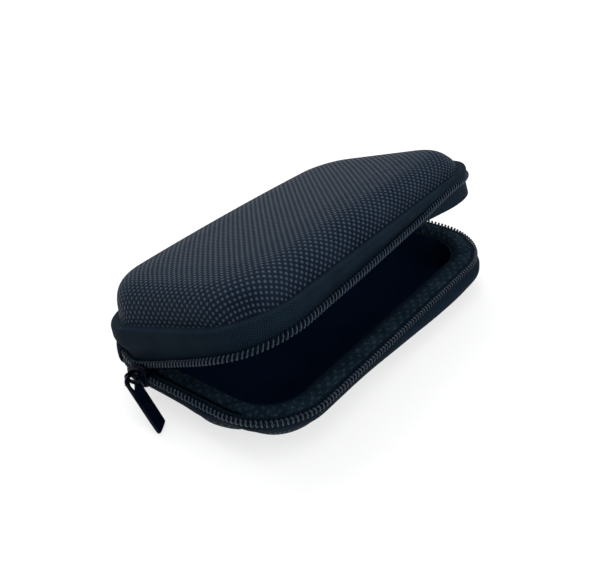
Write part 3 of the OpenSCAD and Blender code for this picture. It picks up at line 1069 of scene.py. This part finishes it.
@dataclass
class Coil:
    """A coil of monofilament sewn to the edge of one tape.

    One turn goes round a flattened oval while it moves on by one pitch, so the row is a single
    spiral. A term in sin φ holds back the outer strand, which gives the loops their lean.
    """

    finishes: Finishes
    measure: tuple[Vector, Vector]
    pitch: float = 1.5
    low: float = 0.25
    high: float = 2.75
    deep: float = 0.65
    wire: float = 0.3
    head: float = 0.17
    lean: float = 0.18
    sides: int = 6
    per_turn: int = 16
    shift_in: float = 0.1
    thread_h: float = 1.6
    thread_size: tuple[float, float] = (0.16, 0.26)
    thread_sway: tuple[float, float] = (0.05, 0.08)
    open_turn: float = 12.2
    chain_gap: float = 1.5

    def row(self, start: float, end: float, half: Half) -> tuple[np.ndarray, np.ndarray]:
        """Tube round the spiral on the closed case, (m, sides, 3), and the running length of each ring.

        Centre line: s grows with φ, h = middle − half height × cos φ and u = depth × sin φ, both
        flattened. The wire is thicker at the head, where the loops meet the other row.
        """
        turns = round((end - start) / self.pitch)
        phi = np.linspace(0, turns * 2 * np.pi, turns * self.per_turn + 1)
        phase = 0.0 if half is Half.BASE else 0.5
        side, rise = flattened(np.sin(phi), 0.8), flattened(np.cos(phi), 0.85)
        s = start + (phi / (2 * np.pi) + phase) * self.pitch - half.value * self.lean * rise * (side > 0)
        middle, reach = 0.5 * (self.high + self.low), 0.5 * (self.high - self.low) - self.wire
        h = middle - reach * rise
        u = self.deep * side - self.shift_in
        centre = ZIP.place(s, u, h, half)
        ahead = np.gradient(centre, axis=0)
        ahead /= np.linalg.norm(ahead, axis=1, keepdims=True)
        _, out = ZIP.spine(s)
        out = np.column_stack([out, np.zeros(len(s))])
        across = np.cross(ahead, out)
        across /= np.linalg.norm(across, axis=1, keepdims=True)
        out = np.cross(across, ahead)
        thick = self.wire + self.head * np.clip(rise, 0, 1) ** 3
        angle = circle(self.sides)
        ring = np.cos(angle)[None, :, None] * out[:, None] + np.sin(angle)[None, :, None] * across[:, None]
        return centre[:, None] + ring * thick[:, None, None], s

    def _thread(self, start: float, end: float, half: Half) -> tuple[np.ndarray, np.ndarray]:
        """Filler cord that lies inside the loops."""
        s = np.arange(start, end, self.pitch / 4)
        u = -self.shift_in + self.thread_sway[0] * np.cos(2 * np.pi * s / self.pitch)
        h = self.thread_h + self.thread_sway[1] * np.sin(2 * np.pi * s / (2 * self.pitch))
        centre = ZIP.place(s, u, h, half)
        _, out = ZIP.spine(s)
        out = np.column_stack([out, np.zeros(len(s))])
        angle = circle(5)
        wide, tall = self.thread_size
        ring = wide * np.cos(angle)[None, :, None] * out[:, None]
        ring = ring + tall * np.sin(angle)[None, :, None] * np.array([0.0, 0.0, 1.0])
        return centre[:, None] + ring, s

    def _piece(
        self, name: str, tube: np.ndarray, material: bpy.types.Material, node: str | None
    ) -> bpy.types.Object:
        """A capped tube as one object, which stands for a node or is extra."""
        obj = surface(name, capped(tube), None, (False, True), solid=True)
        return dress(obj, material, replaces=[node] if node else [])

    def build(self) -> None:
        """Makes the open rows and the closed chains behind them."""
        marks, nylon, thread = ZIP.marks, self.finishes.nylon, self.finishes.thread
        open_from = marks[2] - math.radians(self.open_turn) * ZIP.corner_r
        open_to = marks[-1] - open_from
        chain_from = marks[1] + self.chain_gap
        for name, make, material, node in (
            ("lid_coil_row", self.row, nylon, "lid_coil"),
            ("lid_coil_thread", self._thread, thread, None),
        ):
            tube, s = make(open_from, open_to, Half.LID)
            obj = self._piece(name, COIL_DROOP.opened(tube, s[:, None])[0], material, node)
            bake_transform(obj)
        fixed = [
            ("base_coil_row", self.row(open_from, open_to, Half.BASE), nylon, "base_coil"),
            ("base_coil_thread", self._thread(open_from, open_to, Half.BASE), thread, None),
        ]
        for side, start, end in (("left", chain_from, open_from), ("right", open_to, marks[-1] - chain_from)):
            for half in Half:
                name = f"chain_{side}_{half.name.lower()}_row"
                fixed.append((name, self.row(start, end, half), nylon, f"chain_{side}"))
        for name, (tube, _), material, node in fixed:
            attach(self._piece(name, tube, material, node), "base")


@dataclass
class Hinge:
    """The cloth strip along the rear that is the case's hinge, and the folded tabs at the chain's ends."""

    finishes: Finishes
    reach: float = 45.5
    thickness: float = 0.55
    bend: float = 1.4
    path: Path = ((0.15, -6.2), (0.6, -4.6), (0.98, -2.4), (1.0, 0.0), (1.0, 2.4), (0.98, 4.4), (0.75, 5.6))
    tab_path: Path = (
        (-1.3, -3.0), (0.4, -3.3), (1.6, -2.4), (1.75, 0.0), (1.6, 2.4), (0.4, 3.3), (-1.3, 3.0),
    )
    tab_length: float = 9.7
    tab_t: float = 0.5
    tab_tuck: float = 0.35
    tab_after: tuple[float, float] = (15.4, 11.3)
    step: float = 1.5

    def build(self) -> None:
        """Makes the strip and both tabs."""
        self._strip()
        for name, mark, after in zip(("left", "right"), (ZIP.marks[1], ZIP.marks[7]), self.tab_after):
            self._tab(name, mark + after)

    def _strip(self) -> None:
        """A strip laid over both tapes; it takes the lid's turn over a narrow band at the hinge line."""
        s = ZIP.stations(self.step, ZIP.marks[-1] - self.reach, ZIP.marks[-1] + self.reach)
        section = smoothed(self.path)
        run = lengths(section)
        u, h = np.broadcast_to(section.T[:, None], (2, len(s), len(section)))
        points = turned(ZIP.place(s[:, None], u, h, Half.LID), smoothstep((h + self.bend) / (2 * self.bend)))
        obj = surface("hinge_strip", points, cloth_uv(s, run), inside=[0.0, 0.0, RIM_Z])
        thickened(obj, self.thickness)
        dress(obj, self.finishes.hem, None, ["base_hinge_leaf", "lid_hinge_leaf"])
        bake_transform(obj)

    def _tab(self, name: str, start: float) -> None:
        """A folded tab wrapped over the chain's end."""
        section = smoothed(self.tab_path)
        s = np.linspace(start, start + self.tab_length, 14)
        tuck = self.tab_tuck * np.abs(np.linspace(-1, 1, 14)) ** 6
        u = section[None, :, 0] - tuck[:, None] * (section[None, :, 0] > 0)
        points = ZIP.place(s[:, None], u, np.broadcast_to(section[:, 1], u.shape), Half.LID)
        obj = surface(f"zip_tab_{name}", points, cloth_uv(s, lengths(section)), inside=[0.0, 0.0, RIM_Z])
        thickened(obj, self.tab_t, -1.0)
        dress(obj, self.finishes.hem, "base", [f"zip_end_{name}"])


def rounded_plate(
    outline: np.ndarray, low: float, high: float, edge: float, hole: np.ndarray | None = None
) -> np.ndarray:
    """Grid of a flat plate with rounded edges.

    Rings follow the outline moved in by edge × (1 − sin) and rise by edge × (1 − cos) over a
    quarter turn at each edge. Without a hole the first and last ring shrink to the middle.

    Args:
        outline: Closed outline, (n, 2), anticlockwise.
        low: Height of the lower face.
        high: Height of the upper face.
        edge: Radius of the edges.
        hole: Outline of an opening with as many points, also anticlockwise.

    Returns:
        Rings of points, (m, n, 3), from the lower face round to the upper one.
    """

    def rims(shape: np.ndarray, sign: float) -> np.ndarray:
        """The shape's edge from the lower face to the upper one."""
        ahead = np.roll(shape, -1, axis=0) - np.roll(shape, 1, axis=0)
        normal = np.stack([ahead[:, 1], -ahead[:, 0]], axis=1) / np.linalg.norm(ahead, axis=1)[:, None]
        turn = np.linspace(0, np.pi / 2, 4)
        inset = edge * (1 - np.sin(turn))
        rise = edge * (1 - np.cos(turn))
        steps = [*zip(inset, low + rise), *zip(inset[::-1], high - rise[::-1])]
        level = np.ones(len(shape))
        return np.stack([np.column_stack([shape - sign * i * normal, z * level]) for i, z in steps])

    outer = rims(outline, 1.0)
    if hole is not None:
        return np.concatenate([outer, rims(hole, -1.0)[::-1]])
    first, last = (np.tile(np.append(outline.mean(axis=0), z), (1, len(outline), 1)) for z in (low, high))
    return np.concatenate([first, outer, last])


@dataclass
class Slider:
    """Slider, bridge and puller, in a frame with a outward, b along the zip and c across it."""

    finishes: Finishes
    x: float = -67.6
    y: float = 15.9
    length: float = 8.6
    height: float = 7.6
    plate_t: float = 0.9
    plate_edge: float = 0.35
    taper: float = 0.42
    flange: tuple[float, float] = (0.75, 0.34)
    neck: tuple[float, float] = (0.75, 0.4)
    slot_out: float = 1.5
    slot_in: float = -2.35
    rod_x: float = 5.1
    rod_r: float = 0.6
    bridge_l: float = 6.0
    puller_w: float = 4.6
    puller_up: float = 2.15
    puller_l: float = 20.6
    puller_t: float = 1.0
    puller_lean: float = 37.7
    eye_y: float = -0.7
    eye_wall: float = 1.0

    def _add(
        self,
        name: str,
        grid: np.ndarray,
        nodes: Sequence[str] = (),
        body: str = "slider",
        wrap: tuple[bool, bool] = (False, True),
    ) -> None:
        """Makes one metal piece from places given as outward, along and across."""
        points = [self.x - grid[..., 0], self.y + grid[..., 1], RIM_Z + grid[..., 2]]
        obj = surface(name, np.stack(points, axis=-1), None, wrap, solid=True)
        dress(obj, self.finishes.enamel, body, nodes)

    def _plate(
        self, name: str, outline: np.ndarray, low: float, high: float, edge: float, *nodes: str
    ) -> None:
        """A plate whose outline runs along and across, from low to high outward."""
        self._add(name, rounded_plate(outline, low, high, edge)[..., [2, 0, 1]], nodes)

    def build(self) -> None:
        """Makes the plates with their neck, the bridge, the pawl and the puller."""
        self._plates()
        self._bridge()
        self._pawl()
        self._puller()

    def _narrowing(self, b: np.ndarray) -> np.ndarray:
        """Share of the full height at b: broad toward the open end, drawn in toward the closed one."""
        return 1 - self.taper * smoothstep((b + 1.0) / 5.0)

    def _plates(self) -> None:
        """Outer and inner plate with turned edges, joined by the neck."""
        turn = circle(64)
        b = flattened(np.cos(turn), 0.62) * (self.length / 2)
        c = flattened(np.sin(turn), 0.55) * (self.height / 2)
        outline = np.column_stack([b, c * self._narrowing(b)])
        low, high = self.slot_out, self.slot_in
        self._plate("slider_plate_outer", outline, low, low + self.plate_t, self.plate_edge, "slider_body")
        self._plate("slider_plate_inner", outline, high - self.plate_t, high, self.plate_edge)
        turn = circle(16)
        b = np.linspace(-self.length / 2 + 0.7, self.length / 2 - 1.2, 20)
        thin = np.concatenate([[0.05], np.ones(18), [0.05]])
        proud, deep = self.flange
        for name, sign in (("slider_flange_upper", 1.0), ("slider_flange_lower", -1.0)):
            c = sign * (self.height / 2 - 0.38) * self._narrowing(b)
            ring_a = low - 0.5 + proud * np.cos(turn)[None] * thin[:, None]
            ring_c = c[:, None] + deep * np.sin(turn)[None] * thin[:, None]
            self._add(name, np.stack([ring_a, np.broadcast_to(b[:, None], ring_a.shape), ring_c], axis=-1))
        turn = circle(24)
        long, wide = self.neck
        neck = np.column_stack([-self.length / 2 + 0.95 + long * np.cos(turn), wide * np.sin(turn)])
        self._plate("slider_neck", neck, high - 0.3, low + 0.3, 0.1)

    def _bridge(self) -> None:
        """A bent strap: a rounded arch in a and b with an oval section."""
        foot, half = self.slot_out + self.plate_t - 0.25, self.bridge_l / 2 - 0.4
        rise = [(foot, half + 0.2), (foot + 1.4, half + 0.2), (self.rod_x, half - 0.3)]
        path = smoothed([(a, -b) for a, b in rise] + rise[::-1], 4)
        ahead = np.gradient(path, axis=0)
        ahead /= np.linalg.norm(ahead, axis=1, keepdims=True)
        side = np.stack([ahead[:, 1], -ahead[:, 0]], axis=1)
        turn = circle(14)
        plan = path[:, None] + self.rod_r * 0.85 * np.cos(turn)[None, :, None] * side[:, None]
        across = np.broadcast_to(0.75 * np.sin(turn), plan.shape[:2])
        grid = np.concatenate([plan, across[..., None]], axis=-1)
        self._add("slider_bridge_arch", capped(grid), ["slider_bridge"])

    def _pawl(self) -> None:
        """The locking pawl, a narrow spring strip under the bridge."""
        turn = circle(40)
        outline = np.column_stack([flattened(np.cos(turn), 0.4) * 2.0, flattened(np.sin(turn), 0.4) * 0.42])
        foot = self.slot_out + self.plate_t - 0.05
        self._plate("slider_pawl_spring", outline, foot, foot + 0.4, 0.12, "slider_pawl")

    def _puller(self) -> None:
        """Flat tab with an eye, round above and drawn to one side below, and a slanting tip."""
        half, low, eye = self.puller_w / 2, self.puller_up - self.puller_l, self.puller_w / 2 - self.eye_wall
        tip = [(half, 0.2), (half, low + 1.0), (half - 0.5, low), (half - 1.5, low + 0.3),
               (-half + 0.2, low + 2.0), (-half, low + 2.7), (-half, 0.2)]
        point = [(eye, 0.0), (1.0, -2.4), (0.7, -2.8), (0.4, -2.5), (-eye, 0.0)]
        arc = np.linspace(np.pi, 0, 20)
        rims = []
        for radius, middle, below in ((half, self.puller_up - half, tip), (eye, 0.0, point)):
            crown = np.column_stack([radius * np.cos(arc), middle + radius * np.sin(arc)])
            rims.append(evenly(np.vstack([crown, smoothed(below)]), 160)[::-1])
        grid = rounded_plate(rims[0], -self.puller_t / 2, self.puller_t / 2, 0.28, rims[1])
        lean = math.radians(self.puller_lean)
        w, run, off = grid[..., 0], grid[..., 1], grid[..., 2]
        along = self.eye_y + off * math.cos(lean) + run * math.sin(lean)
        across = run * math.cos(lean) - off * math.sin(lean)
        grid = np.stack([self.rod_x + w, along, across], axis=-1)
        self._add("puller", grid, ["puller_tab"], "puller", (True, True))


def evenly(path: np.ndarray, count: int) -> np.ndarray:
    """Points at equal spacing round a closed path."""
    closed = np.vstack([path, path[:1]])
    run = lengths(closed)
    at = np.linspace(0, run[-1], count, endpoint=False)
    return np.column_stack([np.interp(at, run, closed[:, k]) for k in (0, 1)])


@dataclass(frozen=True)
class Studio:
    """Camera, floor and light; each lamp has its place, size and power."""

    place: Triple = (-186.737, -146.975, 168.786)
    angles: Triple = (57.368, 2.848, -52.656)
    lens: float = 47.3675
    floor_half: float = 4.0
    floor_grey: float = 0.82
    floor_glow: float = 0.7
    sky: Triple = (0.9, 0.95, 1.0)
    sky_power: float = 0.4
    aim: Triple = (0.0, 0.0, 0.02)
    lamps: tuple[tuple[str, Triple, tuple[float, float], float], ...] = (
        ("key", (0.25, 0.65, 0.95), (1.1, 0.7), 15.0),
        ("fill", (-0.15, -1.05, 0.4), (0.8, 0.8), 9.0),
        ("top", (-0.15, -0.15, 1.0), (0.8, 0.8), 6.0),
    )

    def build(self) -> None:
        """Makes the studio."""
        self._camera()
        self._floor()
        self._world()
        for lamp in self.lamps:
            self._lamp(*lamp)

    def _camera(self) -> None:
        """The photograph's view."""
        data = bpy.data.cameras.new("camera")
        data.lens = self.lens
        data.sensor_width = 36.0
        data.sensor_fit = "HORIZONTAL"
        data.clip_start = 0.01
        camera = bpy.data.objects.new("camera", data)
        camera.location = [v * MM for v in self.place]
        camera.rotation_euler = Euler([math.radians(a) for a in self.angles], "XYZ")
        bpy.context.scene.collection.objects.link(camera)
        bpy.context.scene.camera = camera

    def _floor(self) -> None:
        """A pale floor that shows nearly white and keeps a soft shadow."""
        reach = self.floor_half
        corners = np.array([[[x, y, 0.0] for y in (-reach, reach)] for x in (-reach, reach)])
        floor = surface("floor", corners / MM, inside=[0.0, 0.0, -10.0])
        graph = Graph("floor")
        path = graph.node("ShaderNodeLightPath")
        seen = Value(graph, path.outputs["Is Camera Ray"]) + Value(graph, path.outputs["Is Glossy Ray"])
        seen = (seen + Value(graph, path.outputs["Is Transmission Ray"])).at_most(1.0)
        diffuse = graph.node("ShaderNodeBsdfDiffuse", None, {"Color": (*[self.floor_grey] * 3, 1.0)})
        white = graph.node("ShaderNodeEmission", None, {"Color": (1.0, 1.0, 1.0, 1.0), "Strength": 1.0})
        floor.data.materials.append(graph.mixed(seen * self.floor_glow, diffuse, white))

    def _world(self) -> None:
        """Soft grey light all round that the camera sees as white."""
        graph = Graph("studio", bpy.data.worlds, "ShaderNodeOutputWorld")
        seen = graph.node("ShaderNodeLightPath").outputs["Is Camera Ray"]
        inputs = {"Color": (*self.sky, 1.0), "Strength": self.sky_power}
        soft = graph.node("ShaderNodeBackground", None, inputs)
        white = graph.node("ShaderNodeBackground", None, {"Strength": 1.0})
        bpy.context.scene.world = graph.mixed(seen, soft, white)

    def _lamp(self, name: str, at: Triple, size: tuple[float, float], power: float) -> None:
        """One soft rectangular light in metres, turned toward the case."""
        data = bpy.data.lights.new(name, "AREA")
        data.shape = "RECTANGLE"
        data.size, data.size_y = size
        data.energy = power
        lamp = bpy.data.objects.new(name, data)
        lamp.location = at
        lamp.rotation_euler = (Vector(at) - Vector(self.aim)).to_track_quat("Z", "Y").to_euler()
        bpy.context.scene.collection.objects.link(lamp)


def main() -> None:
    """Builds the case round its frame, then the studio."""
    logging.basicConfig(level=logging.INFO, format="%(name)s %(message)s")
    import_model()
    bpy.context.scene.view_settings.view_transform = "Standard"
    finishes = Finishes.made()
    MouldedHalf(Half.BASE, "base", BASE_COVER, BASE_CAVITY, finishes, BASE_FORMS).build()
    MouldedHalf(Half.LID, "lid", LID_COVER, LID_CAVITY, finishes, LID_FORMS, Settle()).build()
    Coil(finishes, ZipTape(finishes).build()).build()
    Hinge(finishes).build()
    Slider(finishes).build()
    Studio().build()


if __name__ == "__main__":
    main()
